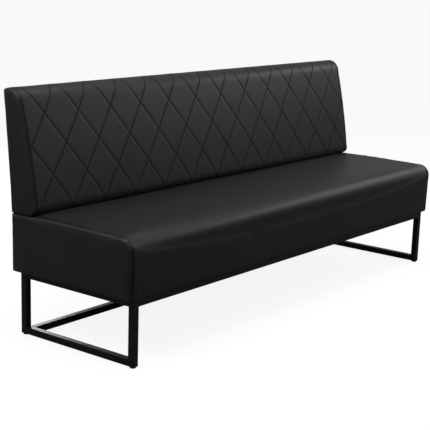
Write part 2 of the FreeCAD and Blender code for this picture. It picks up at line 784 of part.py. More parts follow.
def front_surface():
    """Walk up the front of the back from the middle row, its two flat reaches, and a diamond's height."""
    corners, radii = back_outline()
    toe, brow = corners[0], corners[3]
    slope = math.hypot(brow[0] - toe[0], brow[1] - toe[1])
    up = ((brow[0] - toe[0]) / slope, (brow[1] - toe[1]) / slope)
    out = (-up[1], up[0])
    below = slope * size("quilt_middle_share")
    middle = (toe[0] + up[0] * below, toe[1] + up[1] * below)
    top_y, top_z = corners[2][0] - brow[0], corners[2][1] - brow[1]
    brow_turn = math.acos((up[0] * top_y + up[1] * top_z) / math.hypot(top_y, top_z))
    toe_turn = math.pi - math.acos(up[0])
    top_flat = slope - below - radii[3] * math.tan(brow_turn / 2)
    bottom_flat = below - radii[0] * math.tan(toe_turn / 2)

    def walk(distance):
        """Point, outward direction and upward direction at a distance above the middle row."""
        flat = max(-bottom_flat, min(top_flat, distance))
        radius, turn = (radii[3], brow_turn) if distance > 0 else (radii[0], toe_turn)
        angle = min(abs(distance - flat) / radius, turn)
        left_over = abs(distance - flat) - angle * radius
        if distance < 0:
            angle, left_over = -angle, -left_over
        cosine, sine = math.cos(angle), math.sin(angle)
        outward = tuple(out[k] * cosine + up[k] * sine for k in (0, 1))
        upward = tuple(up[k] * cosine - out[k] * sine for k in (0, 1))
        foot = tuple(middle[k] + up[k] * flat - out[k] * radius for k in (0, 1))
        if flat == distance:
            outward, upward = out, up
        point = tuple(foot[k] + outward[k] * radius + upward[k] * left_over for k in (0, 1))
        return point, outward, upward

    return walk, bottom_flat, top_flat, slope * size("quilt_diamond_share")


BROW_STEPS = 3
TOE_STEPS = 2


def chord_bulge(walk, start, middle, end):
    """How far the surface stands out past the straight line between two places on it."""
    first, between, last = (V(0, *walk(distance)[0]) for distance in (start, middle, end))
    return between.distanceToPoint((first + last) / 2)


def quilting_channels():
    """Two sets of cutters for the sewn valleys, one for each lean, straight on the developed front."""
    walk, bottom_flat, top_flat, diamond_height = front_surface()
    reach = diamond_height + size("quilt_tail_length")
    stations = [-reach + (reach - bottom_flat) * step / TOE_STEPS for step in range(TOE_STEPS)]
    stations += [-bottom_flat, top_flat]
    stations += [top_flat + (reach - top_flat) * step / BROW_STEPS for step in range(1, BROW_STEPS + 1)]
    columns = int(size("quilt_columns"))
    pitch = (size("bench_length") - 2 * size("quilt_margin")) / columns
    depth = size("channel_depth")
    # between two stations the cutter runs straight, so its top has to clear the bulge of the rounding
    middles = [(low + high) / 2 for low, high in zip(stations, stations[1:])]
    bulge = max(chord_bulge(walk, *ends) for ends in zip(stations, middles, stations[1:]))
    lift = bulge + size("cut_overrun")
    half_width = size("channel_width") / 2 * (1 + lift / depth)
    passes = []
    for lean in (-1, 1):
        drift = lean * pitch / diamond_height
        cutters = []
        for column in range(columns + 1):
            node_x = (column - columns / 2) * pitch
            sections = []
            for distance in stations:
                point, outward, upward = walk(distance)
                place_on = V(node_x + drift * distance, *point)
                out = V(0, *outward)
                along = V(drift, *upward).normalize()
                side = out.cross(along)
                valley = place_on - out * depth
                left = place_on + out * lift - side * half_width
                right = place_on + out * lift + side * half_width
                sections.append(Part.makePolygon([valley, left, right, valley]))
            cutters.append(Part.makeLoft(sections, True, True))
        passes.append(cutters)
    return passes


def back_upholstery():
    """Foam round the timber frame, the quilted panel from toe to brow, and the plain covers."""
    outline = back_outline()
    corners = outline[0]
    cover, panel = size("cover_thickness"), size("quilt_panel_thickness")
    rear = strip_along(corners, 1, size("seam_inset"))
    layer = ring(outline, inner_outline(outline, [panel, cover, panel, panel])).cut(rear)
    half = evaluate(BOX_LENGTH) / 2
    room = prism(back_frame_corners(), -half, half)
    block = padded_block(outline, cover)
    solid_node("back_foam", block.cut([layer, room] + bracket_slots()))
    for cutters in [bracket_slots()] + quilting_channels():
        layer = layer.cut(cutters)
    solid_node("back_quilted_panel", layer)
    skin = ring(outline, inner_outline(outline, [cover] * 4))
    solid_node("back_rear_cover", skin.common(rear).cut(bracket_slots()))
    for name, sign in (("left", -1), ("right", 1)):
        solid_node("back_%s_cover" % name, end_cover(outline, sign))


for side_name, side_sign in (("left", "-"), ("right", "")):
    end_loop(side_name, side_sign)
long_rails()
cross_bars()
floor_glides()
fixing_tabs()
fixing_screws()
seat_box()
seat_foam()
seat_covers()
dust_cover()
back_brackets()
bracket_bolts()
back_frame()
back_upholstery()

doc.recompute()
for item in doc.Objects:
    if "Invalid" in item.State or "Error" in item.State:
        raise RuntimeError("%s did not build: %s" % (item.Label, item.State))
for item in nodes:
    if item.Shape.isNull() or not item.Shape.isValid():
        raise RuntimeError("%s has no valid shape" % item.Label)
os.makedirs("parts", exist_ok=True)
for item in nodes:
    item.Shape.exportStep("parts/%s.step" % item.Label)
print("%d sub-parts written" % len(nodes))
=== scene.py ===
import math

import bmesh
import bpy
from mathutils import Matrix, Vector, noise
from mathutils.bvhtree import BVHTree


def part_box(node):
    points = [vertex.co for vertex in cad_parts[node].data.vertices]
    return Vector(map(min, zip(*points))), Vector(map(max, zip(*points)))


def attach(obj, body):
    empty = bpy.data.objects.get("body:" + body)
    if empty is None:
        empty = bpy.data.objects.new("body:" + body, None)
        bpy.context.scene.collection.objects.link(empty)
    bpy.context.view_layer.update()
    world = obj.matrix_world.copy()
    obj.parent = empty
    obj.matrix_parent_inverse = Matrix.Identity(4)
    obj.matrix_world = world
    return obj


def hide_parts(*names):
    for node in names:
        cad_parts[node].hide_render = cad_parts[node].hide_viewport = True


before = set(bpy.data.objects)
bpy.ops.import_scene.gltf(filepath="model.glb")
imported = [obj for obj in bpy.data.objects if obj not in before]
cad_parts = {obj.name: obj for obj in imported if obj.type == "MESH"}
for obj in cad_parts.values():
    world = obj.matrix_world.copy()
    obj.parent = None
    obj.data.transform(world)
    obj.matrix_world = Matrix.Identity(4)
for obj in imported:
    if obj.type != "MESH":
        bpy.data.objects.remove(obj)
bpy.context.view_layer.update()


# Camera
# It stands in front of the bench at its left end, a little above the seat, with a long lens.
# The picture's centre line passes beside the middle of the lens, as in a cropped photograph.

turn, rise, roll = (math.radians(angle) for angle in (-53.093, 13.625, 2.069))
aim, distance = Vector((-0.07408, -0.0175, 0.25166)), 4.53181
sensor_width, picture_pixels, focal_pixels, centre_pixels = 36, 430, 1139.2, 21
towards_camera = Vector((math.sin(turn) * math.cos(rise), -math.cos(turn) * math.cos(rise), math.sin(rise)))
level = (-towards_camera).cross(Vector((0, 0, 1))).normalized()
upright = level.cross(-towards_camera)
across = level * math.cos(roll) + upright * math.sin(roll)
above = upright * math.cos(roll) - level * math.sin(roll)
camera = bpy.data.objects.new("camera", bpy.data.cameras.new("camera"))
camera.data.sensor_width = sensor_width
camera.data.lens = sensor_width * focal_pixels / picture_pixels
camera.data.shift_x, camera.data.shift_y = -centre_pixels / picture_pixels, centre_pixels / picture_pixels
camera.data.clip_end = 200
camera.matrix_world = (
    Matrix.Translation(aim + towards_camera * distance)
    @ Matrix((across, above, towards_camera)).transposed().to_4x4()
)
bpy.context.scene.collection.objects.link(camera)
bpy.context.scene.camera = camera
bpy.context.scene.view_settings.view_transform = "Standard"


# Studio
# A floor that runs out of sight and shows white, an even pale sky, and broad soft lights above, to the
# right, to the left and behind, which draw the shine along the rounded edges.

floor_half_size = 60
floor_lift, sky_for_light, sky_for_camera = 0.88, 0.34, 1.0


def new_material(name):
    """Node material, its node maker and its surface shader."""
    material = bpy.data.materials.new(name)
    material.use_nodes = True
    nodes, links = material.node_tree.nodes, material.node_tree.links
    shader = nodes["Principled BSDF"]

    def node(kind, inputs=None, **settings):
        made = nodes.new(kind)
        for setting, value in settings.items():
            setattr(made, setting, value)
        for socket, value in (inputs or {}).items():
            if isinstance(value, bpy.types.NodeSocket):
                links.new(value, made.inputs[socket])
            else:
                made.inputs[socket].default_value = value
        return made

    return material, node, shader, links


def floor_material():
    """White paper: it takes the bench's shadow, and is lifted to white where the camera sees it."""
    material, node, shader, links = new_material("floor_paper")
    shader.inputs["Base Color"].default_value = (0.16, 0.16, 0.16, 1)
    shader.inputs["Roughness"].default_value = 0.9
    shader.inputs["Specular IOR Level"].default_value = 0.0
    rays = node("ShaderNodeLightPath")
    lift = node("ShaderNodeMath", {0: rays.outputs["Is Camera Ray"], 1: floor_lift}, operation="MULTIPLY")
    glow = node("ShaderNodeEmission", {"Strength": lift.outputs[0]})
    both = node("ShaderNodeAddShader", {0: shader.outputs[0], 1: glow.outputs[0]})
    links.new(both.outputs[0], material.node_tree.nodes["Material Output"].inputs["Surface"])
    return material


def mesh_object(name, bm, material):
    """Object at the origin that holds the mesh, smooth shaded."""
    for face in bm.faces:
        face.smooth = True
    mesh = bpy.data.meshes.new(name)
    bm.to_mesh(mesh)
    bm.free()
    mesh.materials.append(material)
    made = bpy.data.objects.new(name, mesh)
    bpy.context.scene.collection.objects.link(made)
    return made


bm = bmesh.new()
bmesh.ops.create_grid(bm, x_segments=1, y_segments=1, size=floor_half_size)
floor = mesh_object("floor", bm, floor_material())

world = bpy.data.worlds.new("studio_sky")
bpy.context.scene.world = world
world.use_nodes = True
sky_nodes, sky_links = world.node_tree.nodes, world.node_tree.links
rays = sky_nodes.new("ShaderNodeLightPath")
seen = sky_nodes.new("ShaderNodeMix")
seen.inputs["A"].default_value = sky_for_light
seen.inputs["B"].default_value = sky_for_camera
sky_links.new(rays.outputs["Is Camera Ray"], seen.inputs["Factor"])
sky_links.new(seen.outputs["Result"], sky_nodes["Background"].inputs["Strength"])
sky_nodes["Background"].inputs["Color"].default_value = (1, 1, 1, 1)


def lamp(name, kind, energy, place, target, **settings):
    """Lamp that shines from a place to a point."""
    made = bpy.data.objects.new(name, bpy.data.lights.new(name, kind))
    made.data.energy = energy
    for setting, value in settings.items():
        setattr(made.data, setting, value)
    made.location = place
    made.rotation_euler = (Vector(target) - Vector(place)).to_track_quat("-Z", "Y").to_euler()
    bpy.context.scene.collection.objects.link(made)


lamp("key_light", "SUN", 0.2, (1.6, -2.2, 4.2), (0, 0, 0.3), angle=math.radians(50))
lamp("top_light", "AREA", 38, (-0.3, -0.5, 3.2), (-0.3, -0.2, 0.4), shape="RECTANGLE", size=3.2, size_y=1.4)
lamp("right_light", "AREA", 20, (3.0, -1.2, 2.0), (0.2, -0.1, 0.4), shape="RECTANGLE", size=2.6, size_y=0.8)
lamp("left_light", "AREA", 32, (-2.6, 0.6, 2.4), (-0.8, 0, 0.4), shape="RECTANGLE", size=1.6, size_y=1.0)
lamp("rear_light", "AREA", 45, (0.8, 3.4, 0.9), (0, 0.3, 0.5), shape="RECTANGLE", size=2.4, size_y=0.8)


# Steel frame
# Two end loops of mitred square tube, three long rails and two cross bars, welded and then powder
# coated satin black. The tubes are the ones of the solid model.

def object_coordinates(node, scale=(1, 1, 1)):
    """Place on the piece, stretched by a scale."""
    where = node("ShaderNodeTexCoord")
    return node("ShaderNodeMapping", {"Vector": where.outputs["Object"], "Scale": scale}).outputs["Vector"]


def between(node, factor, low, high):
    """Value or colour that goes from low to high with a factor."""
    if isinstance(low, tuple):
        mixed = node("ShaderNodeMix", data_type="RGBA")
        low_socket, high_socket, result = 6, 7, 2
        low, high = (*low, 1), (*high, 1)
    else:
        mixed = node("ShaderNodeMix")
        low_socket, high_socket, result = 2, 3, 0
    mixed.id_data.links.new(factor, mixed.inputs[0])
    mixed.inputs[low_socket].default_value = low
    mixed.inputs[high_socket].default_value = high
    return mixed.outputs[result]


def powder_coat():
    """Satin black powder coat with a fine orange peel, a little dust and rubbed patches."""
    material, node, shader, links = new_material("frame_powder_coat")
    place = object_coordinates(node)
    peel = node("ShaderNodeTexNoise", {"Vector": place, "Scale": 900.0, "Detail": 2.0})
    patches = node("ShaderNodeTexNoise", {"Vector": place, "Scale": 9.0, "Detail": 4.0})
    tone = between(node, patches.outputs["Fac"], (0.003, 0.003, 0.0032), (0.006, 0.006, 0.0062))
    links.new(tone, shader.inputs["Base Color"])
    links.new(between(node, patches.outputs["Fac"], 0.24, 0.38), shader.inputs["Roughness"])
    bump = node("ShaderNodeBump", {"Height": peel.outputs["Fac"], "Strength": 0.12, "Distance": 0.0002})
    links.new(bump.outputs[0], shader.inputs["Normal"])
    shader.inputs["Specular IOR Level"].default_value = 0.3
    return material


def repaint(names, material):
    """Give nodes of the solid model a finish."""
    for name in names:
        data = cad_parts[name].data
        data.materials.clear()
        data.materials.append(material)


tube_names = [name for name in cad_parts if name.endswith(("_post", "_bar", "floor_rail", "_stretcher"))]
tube_names += ["left_top_rail", "right_top_rail", "front_top_rail", "rear_top_rail", "fixing_tabs"]
repaint(tube_names, powder_coat())


# Glides
# Four small black moulded feet, pushed into the floor rails from below near their ends. They keep the
# powder coat off the floor.

def moulded_plastic():
    """Black moulded plastic, slightly mottled."""
    material, node, shader, links = new_material("glide_plastic")
    place = object_coordinates(node)
    mottle = node("ShaderNodeTexNoise", {"Vector": place, "Scale": 400.0, "Detail": 3.0})
    tone = between(node, mottle.outputs["Fac"], (0.012, 0.012, 0.012), (0.03, 0.03, 0.03))
    links.new(tone, shader.inputs["Base Color"])
    links.new(between(node, mottle.outputs["Fac"], 0.45, 0.62), shader.inputs["Roughness"])
    bump = node("ShaderNodeBump", {"Height": mottle.outputs["Fac"], "Strength": 0.2, "Distance": 0.0001})
    links.new(bump.outputs[0], shader.inputs["Normal"])
    return material


repaint(["floor_glides"], moulded_plastic())


# Brackets, bolts and screws
# Flat steel bars bent to the lean of the back, zinc plated, with hexagon screws of the same finish. They
# join the back's carcass to the seat's, inside the upholstery.

def zinc_plate():
    """Zinc plated steel with a soft cloudy spangle and fine brushing along the bar."""
    material, node, shader, links = new_material("zinc_plate")
    spangle = node("ShaderNodeTexNoise", {"Vector": object_coordinates(node), "Scale": 60.0, "Detail": 5.0})
    brushing = node("ShaderNodeTexNoise", {"Vector": object_coordinates(node, (900, 60, 60)), "Scale": 1.0})
    tone = between(node, spangle.outputs["Fac"], (0.42, 0.43, 0.45), (0.62, 0.62, 0.63))
    links.new(tone, shader.inputs["Base Color"])
    links.new(between(node, spangle.outputs["Fac"], 0.28, 0.48), shader.inputs["Roughness"])
    bump = node("ShaderNodeBump", {"Height": brushing.outputs["Fac"], "Strength": 0.15, "Distance": 0.0001})
    links.new(bump.outputs[0], shader.inputs["Normal"])
    shader.inputs["Metallic"].default_value = 1.0
    return material


zinc = zinc_plate()
bracket_names = [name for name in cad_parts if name.endswith("_back_bracket")]
repaint(bracket_names + ["bracket_bolts", "fixing_screws"], zinc)


# Timber carcass
# Birch plywood boards, ribs and panels, glued and screwed, inside the seat and the back. The upholstery
# and the dust cover hide them.

def plywood():
    """Pale birch plywood: long grain on the faces, with darker flecks."""
    material, node, shader, links = new_material("birch_plywood")
    grain_place = object_coordinates(node, (1.5, 14, 90))
    fleck_place = object_coordinates(node, (12, 80, 80))
    grain = node("ShaderNodeTexNoise", {"Vector": grain_place, "Scale": 4.0, "Detail": 6.0})
    flecks = node("ShaderNodeTexNoise", {"Vector": fleck_place, "Scale": 6.0, "Detail": 2.0})
    tone = between(node, grain.outputs["Fac"], (0.50, 0.34, 0.19), (0.72, 0.55, 0.36))
    darker = node("ShaderNodeMix", data_type="RGBA", blend_type="MULTIPLY")
    darker.inputs[0].default_value = 0.35
    links.new(tone, darker.inputs[6])
    links.new(flecks.outputs["Fac"], darker.inputs[7])
    links.new(darker.outputs[2], shader.inputs["Base Color"])
    links.new(between(node, flecks.outputs["Fac"], 0.5, 0.75), shader.inputs["Roughness"])
    bump = node("ShaderNodeBump", {"Height": grain.outputs["Fac"], "Strength": 0.3, "Distance": 0.0004})
    links.new(bump.outputs[0], shader.inputs["Normal"])
    return material


boards = [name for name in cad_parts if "_board" in name or "_rib_" in name]
repaint(boards + ["seat_base_panel", "seat_deck", "back_top_rail"], plywood())


# Seat upholstery
# One sheet of black imitation leather runs from the rear edge over the crowned top and the rounded
# front to the hem. End panels with rolled edges and a rear panel are sewn to it, tight over firm foam.

seam_x, bench_end, end_roll, hem_roll = 0.986, 1.0, 0.009, 0.002
seam_gap, seam_depth, panel_gap = 0.0001, 0.008, 0.0006
seat_corners = [(-0.2935, 0.236), (0.2625, 0.236), (0.2625, 0.446), (-0.0175, 0.4513), (-0.2975, 0.446)]
seat_radii = [0.006, 0.006, 0.008, 7.25, 0.048]
seat_bulges = [0, 0, 0, 0, 0.001]
seat_arc_steps, seat_line_steps = 10, 24
seat_seam_past_corner, seat_hem_turn, seat_rear_turn = 0.0068, 0.024, 0.022
leather_thickness, end_pillow = 0.0016, 0.001
seam_sink, sink_width, crease_width = 0.0012, 0.0028, 0.0017
seat_held_below = 0.24


def shifted(corners, insets):
    """Corners of an outline after each side moved inward by its own inset."""
    lines = []
    for index, corner in enumerate(corners):
        start, end = Vector(corner), Vector(corners[(index + 1) % len(corners)])
        along = (end - start).normalized()
        lines.append((start + Vector((-along.y, along.x)) * insets[index], along))
    moved = []
    for index, (point, along) in enumerate(lines):
        before, heading = lines[index - 1]
        reach = (point - before).cross(along) / heading.cross(along)
        moved.append(tuple(before + heading * reach))
    return moved


def cross_section(corners, radii, bulges, arc_steps, line_steps):
    """Points (y, z) and outward directions round a rounded outline, whose sides may bulge."""
    count = len(corners)
    bends = []
    for index in range(count):
        corner = Vector(corners[index])
        arriving = corner - Vector(corners[index - 1])
        leaving = Vector(corners[(index + 1) % count]) - corner
        heading = math.atan2(arriving.y, arriving.x)
        bend = (math.atan2(leaving.y, leaving.x) - heading) % math.tau
        enter = corner - arriving.normalized() * radii[index] * math.tan(bend / 2)
        bends.append((enter, heading, bend, radii[index]))
    points = []
    for index in range(count):
        enter, heading, bend, radius = bends[index]
        centre = enter - Vector((math.sin(heading), -math.cos(heading))) * radius
        for step in range(arc_steps + 1):
            angle = heading + bend * step / arc_steps
            outward = Vector((math.sin(angle), -math.cos(angle)))
            points.append((centre + outward * radius, outward))
        start, goal = points[-1][0], bends[(index + 1) % count][0]
        for step in range(1, line_steps):
            share = step / line_steps
            bulge = outward * bulges[index] * 4 * share * (1 - share)
            points.append((start.lerp(goal, share) + bulge, outward))
    return points


def measured(points):
    """Function from a distance along the closed outline to the point and outward direction there."""
    marks = [0.0]
    for index in range(len(points)):
        marks.append(marks[-1] + (points[(index + 1) % len(points)][0] - points[index][0]).length)

    def at(distance):
        distance %= marks[-1]
        low, high = 0, len(points)
        while high - low > 1:
            middle = (low + high) // 2
            if marks[middle] <= distance:
                low = middle
            else:
                high = middle
        share = (distance - marks[low]) / max(marks[low + 1] - marks[low], 1e-9)
        (here, out), (there, next_out) = points[low], points[(low + 1) % len(points)]
        return here.lerp(there, share), out.lerp(next_out, share).normalized()

    return at, marks


def leather(name, tone_low, tone_high):
    """Black imitation leather: pebble grain, uneven sheen and rubbed patches; painted shade makes it dark
    and dull in creases.
    """
    material, node, shader, links = new_material(name)
    place = object_coordinates(node)
    pebbles = node("ShaderNodeTexVoronoi", {"Vector": place, "Scale": 620.0}, feature="DISTANCE_TO_EDGE")
    wander = node("ShaderNodeTexNoise", {"Vector": place, "Scale": 260.0, "Detail": 3.0})
    patches = node("ShaderNodeTexNoise", {"Vector": place, "Scale": 5.0, "Detail": 5.0, "Roughness": 0.55})
    height = node("ShaderNodeMath", {0: pebbles.outputs["Distance"], 1: 0.35}, operation="MINIMUM")
    joined = node("ShaderNodeMath", {0: height.outputs[0], 1: wander.outputs["Fac"]}, operation="ADD")
    bump = node("ShaderNodeBump", {"Height": joined.outputs[0], "Strength": 0.25, "Distance": 0.0003})
    links.new(bump.outputs[0], shader.inputs["Normal"])
    # Painted shade: near seams and sewn lines the colour is darkened to near black and the shine taken away,
    # standing in for the shade that falls in the creases.
    crease_and_painted_shade = node("ShaderNodeAttribute", attribute_name="crease_and_painted_shade").outputs["Fac"]
    tone = between(node, patches.outputs["Fac"], tone_low, tone_high)
    tone_with_painted_shade = node("ShaderNodeMix", {0: crease_and_painted_shade, 6: tone, 7: (0.001, 0.001, 0.001, 1)}, data_type="RGBA")
    links.new(tone_with_painted_shade.outputs[2], shader.inputs["Base Color"])
    links.new(between(node, patches.outputs["Fac"], 0.40, 0.50), shader.inputs["Roughness"])
    links.new(between(node, crease_and_painted_shade, 0.3, 0.0), shader.inputs["Specular IOR Level"])
    return material


seat_leather = leather("seat_leather", (0.009, 0.009, 0.0094), (0.014, 0.014, 0.0145))


def puckers(along, from_seam, height, reach):
    """Small gathers that run away from a seam and fade with distance."""
    wide = noise.noise(Vector((along * 62, from_seam * 9, 3.1)))
    narrow = noise.noise(Vector((along * 131, 0, 7.7)))
    return height * (wide + 0.5 * narrow) * math.exp(-from_seam / reach)


def sunk(from_seam):
    """How deep a sheet lies beside its seam, where the thread draws it in."""
    return seam_sink * math.exp(-((from_seam / sink_width) ** 2))


def drawn_in_and_painted_shade(distance):
    """How strongly painted shade makes the leather dark and dull near a seam or a sewn line, and in the
    quilting how deep the line is drawn in: 1 in it, next to nothing after 6 mm.
    """
    return math.exp(-distance / crease_width)


def tuck(bm, depth):
    """Turn the free edges of a sheet down into its seams, where it is sewn to the next sheet."""
    bm.normal_update()
    inward = {vertex: -vertex.normal for vertex in bm.verts if vertex.is_boundary}
    rim = [edge for edge in bm.edges if edge.is_boundary]
    made = bmesh.ops.extrude_edge_only(bm, edges=rim)["geom"]
    for vertex in made:
        if isinstance(vertex, bmesh.types.BMVert):
            neighbours = [edge.other_vert(vertex) for edge in vertex.link_edges]
            source = next(neighbour for neighbour in neighbours if neighbour in inward)
            vertex.co = source.co + inward[source] * depth


def rows_between(marks, start, end):
    """Places of a sheet's rows: its two ends, and the points of the outline between them."""
    narrowest = 0.002
    laps = [mark + lap for lap in (0, marks[-1]) for mark in marks[:-1]]
    return [start] + [mark for mark in laps if start + narrowest < mark < end - narrowest] + [end]


def face_outwards(bm, inside):
    """Turn a sheet's faces away from a point inside the padding."""
    bmesh.ops.recalc_face_normals(bm, faces=bm.faces)
    if sum(face.normal.dot(face.calc_center_median() - inside) for face in bm.faces) < 0:
        bmesh.ops.reverse_faces(bm, faces=bm.faces)


def wrapped_sheet(at, inside, rows, columns, relief):
    """Sheet between the end seams that follows the outline, with finer cells beside the seams."""
    evenness = 0.05
    bm = bmesh.new()
    bmesh.ops.create_grid(bm, x_segments=columns, y_segments=len(rows) - 1, size=0.5)
    crease_and_painted_shade = bm.verts.layers.float.new("crease_and_painted_shade")
    for vertex in bm.verts:
        share = 2 * vertex.co.x
        x = (seam_x - seam_gap) * (evenness * share + (1 - evenness) * math.sin(share * math.pi / 2))
        place = rows[round((vertex.co.y + 0.5) * (len(rows) - 1))]
        point, outward = at(place)
        vertex.co = (x, *(point + outward * relief(x, place)))
        # Painted shade beside the end seams: the leather's material darkens it there and takes its shine
        # away.
        vertex[crease_and_painted_shade] = drawn_in_and_painted_shade(seam_x - abs(x))
    face_outwards(bm, inside)
    return bm


def sewn_object(name, bm, material):
    """Finished sheet of leather with its edges turned into the seams."""
    tuck(bm, seam_depth)
    piece = mesh_object(name, bm, material)
    wall = piece.modifiers.new("leather_thickness", "SOLIDIFY")
    wall.thickness, wall.offset = leather_thickness, -1
    return piece


def filled(bm, held, pressure, spare, most):
    """Blow a sheet out over its foam between the places where it is held, no point further than a limit."""
    last_frame = 20
    bm.verts.index_update()
    mesh = bpy.data.meshes.new("filling")
    bm.to_mesh(mesh)
    blown = bpy.data.objects.new("filling", mesh)
    bpy.context.scene.collection.objects.link(blown)
    sewn = blown.vertex_groups.new(name="sewn")
    sewn.add([vertex.index for vertex in bm.verts if vertex.is_boundary or held(vertex)], 1.0, "REPLACE")
    cloth = blown.modifiers.new("filling", "CLOTH")
    cloth.settings.quality = 6
    cloth.settings.mass = 0.5
    cloth.settings.tension_stiffness = cloth.settings.compression_stiffness = 30
    cloth.settings.shear_stiffness = 20
    cloth.settings.bending_stiffness = 2
    cloth.settings.air_damping = 6
    cloth.settings.shrink_min = -spare
    cloth.settings.use_pressure = True
    cloth.settings.uniform_pressure_force = pressure
    cloth.settings.effector_weights.gravity = 0
    cloth.settings.vertex_group_mass = "sewn"
    cloth.collision_settings.use_collision = False
    cloth.point_cache.frame_end = last_frame
    for number in range(1, last_frame + 1):
        bpy.context.scene.frame_set(number)
    result = blown.evaluated_get(bpy.context.evaluated_depsgraph_get()).data.vertices
    for vertex in bm.verts:
        move = result[vertex.index].co - vertex.co
        if move.length > 1e-9:
            vertex.co += move * (most * math.tanh(move.length / most) / move.length)
    bpy.data.objects.remove(blown)
    bpy.data.meshes.remove(mesh)
    bpy.context.scene.frame_set(1)


def seat_relief(x, place):
    """Slight unevenness of the seat, with gathers beside the end seams."""
    from_seam = seam_x - abs(x)
    hollow = 0.0009 * noise.noise(Vector((x * 3.1, place * 4.2, 1.7)))
    return hollow - sunk(from_seam) + puckers(place * math.copysign(1, x), from_seam, 0.0008, 0.022)


seat_points = cross_section(seat_corners, seat_radii, seat_bulges, seat_arc_steps, seat_line_steps)
seat_at, seat_marks = measured(seat_points)
seat_side = seat_arc_steps + seat_line_steps
seat_top_start = seat_marks[2 * seat_side + seat_arc_steps] + seat_seam_past_corner
seat_hem = seat_marks[-1] + seat_marks[seat_arc_steps] + seat_hem_turn
seat_rear_start = seat_marks[seat_side] - seat_rear_turn
seat_middle = Vector((0, 0, 0.34))
seat_top_rows = rows_between(seat_marks, seat_top_start, seat_hem)
seat_top_bm = wrapped_sheet(seat_at, seat_middle, seat_top_rows, 130, seat_relief)
filled(seat_top_bm, lambda vertex: vertex.co.z < seat_held_below, pressure=1.5, spare=0.004, most=0.0025)
seat_skin = BVHTree.FromBMesh(seat_top_bm)
seat_top = sewn_object("seat_top_leather", seat_top_bm, seat_leather)
seat_rear_rows = rows_between(seat_marks, seat_rear_start, seat_top_start - panel_gap)
seat_rear_bm = wrapped_sheet(seat_at, seat_middle, seat_rear_rows, 90, seat_relief)
seat_rear = sewn_object("seat_rear_leather", seat_rear_bm, seat_leather)


def end_panel(corners, radii, bulges, side):
    """Panel over one end: it rolls out from its seam, and is softly filled inside the roll."""
    arc_steps, line_steps = 8, 20
    roll_shares = (0, 0.04, 0.12, 0.26, 0.45, 0.7, 1)
    panel_shares = (0.95, 0.88, 0.78, 0.65, 0.5, 0.33, 0.16)
    rolls = [hem_roll] + [end_roll] * (len(corners) - 1)
    rings = []
    for share in roll_shares:
        angle = math.pi / 2 * share
        insets = [inset * (1 - math.cos(angle)) for inset in rolls]
        rounding = [max(radius - max(insets), radius / 2) for radius in radii]
        loop = cross_section(shifted(corners, insets), rounding, bulges, arc_steps, line_steps)
        out = (bench_end - seam_x - seam_gap) * math.sin(angle)
        from_seam = out + max(insets)
        ring = []
        for index, (point, outward) in enumerate(loop):
            swell = puckers(index * 0.012 * side, from_seam, 0.0008, 0.02) - sunk(from_seam)
            # The last value kept with each point is painted shade beside the seam, for the leather's
            # material.
            ring.append((seam_x + seam_gap + out, point + outward * swell, drawn_in_and_painted_shade(from_seam)))
        rings.append(ring)
    flat = [point for _, point, _ in rings[-1]]
    middle = sum(flat, Vector((0, 0))) / len(flat)
    for share in panel_shares:
        x = bench_end + end_pillow * (1 - share ** 4)
        rings.append([(x, middle.lerp(point, share), 0) for point in flat])
    bm = bmesh.new()
    crease_and_painted_shade = bm.verts.layers.float.new("crease_and_painted_shade")
    loop = bmesh.ops.create_circle(bm, cap_ends=False, segments=len(flat), radius=1)["verts"]
    edges = list(bm.edges)
    for number, ring in enumerate(rings):
        if number:
            made = bmesh.ops.extrude_edge_only(bm, edges=edges)["geom"]
            edges = [item for item in made if isinstance(item, bmesh.types.BMEdge) and item.is_boundary]
            fresh = {item for item in made if isinstance(item, bmesh.types.BMVert)}
            neighbours = [[edge.other_vert(vertex) for edge in vertex.link_edges] for vertex in loop]
            loop = [next(item for item in around if item in fresh) for around in neighbours]
        for vertex, (x, point, painted_shade) in zip(loop, ring):
            vertex.co = (side * x, *point)
            vertex[crease_and_painted_shade] = painted_shade
    centre = bmesh.ops.extrude_edge_only(bm, edges=edges)["geom"]
    pole = [item for item in centre if isinstance(item, bmesh.types.BMVert)]
    bmesh.ops.pointmerge(bm, verts=pole, merge_co=(side * (bench_end + end_pillow), *middle))
    face_outwards(bm, Vector((0, *middle)))
    return bm


def upholster_end(name, corners, radii, bulges, side):
    """End panel of one side, filled and sewn in."""
    bm = end_panel(corners, radii, bulges, side)
    filled(bm, lambda vertex: False, pressure=2.0, spare=0.004, most=0.0015)
    return sewn_object(name, bm, seat_leather)


seat_ends = [
    upholster_end("seat_%s_leather" % side_name, seat_corners, seat_radii, seat_bulges, side)
    for side_name, side in (("left", -1), ("right", 1))
]
for piece, node_names in (
    (seat_top, ["seat_top_cover", "seat_foam"]),
    (seat_rear, ["seat_rear_cover"]),
    (seat_ends[0], ["seat_left_cover"]),
    (seat_ends[1], ["seat_right_cover"]),
):
    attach(piece, "root")
    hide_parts(*node_names)


# Back upholstery
# A quilted sheet of the same leather runs from the rear top edge over the brow and down to the toe, which is
# pressed 3 mm into the seat. Its diamonds are sewn through a thin wadding, and the foam bulges its face a
# little. Plain panels close the ends and the rear.

back_corners = [(0.1375, 0.446), (0.2625, 0.446), (0.2975, 0.867), (0.2285, 0.894)]
back_radii = [0.030, 0.006, 0.010, 0.052]
back_bulges = [0, 0, 0, 0.006]
back_arc_steps, back_line_steps = 16, 40
back_seam_past_corner, back_toe_turn, back_rear_turn = 0.001, 0.07, 0.02
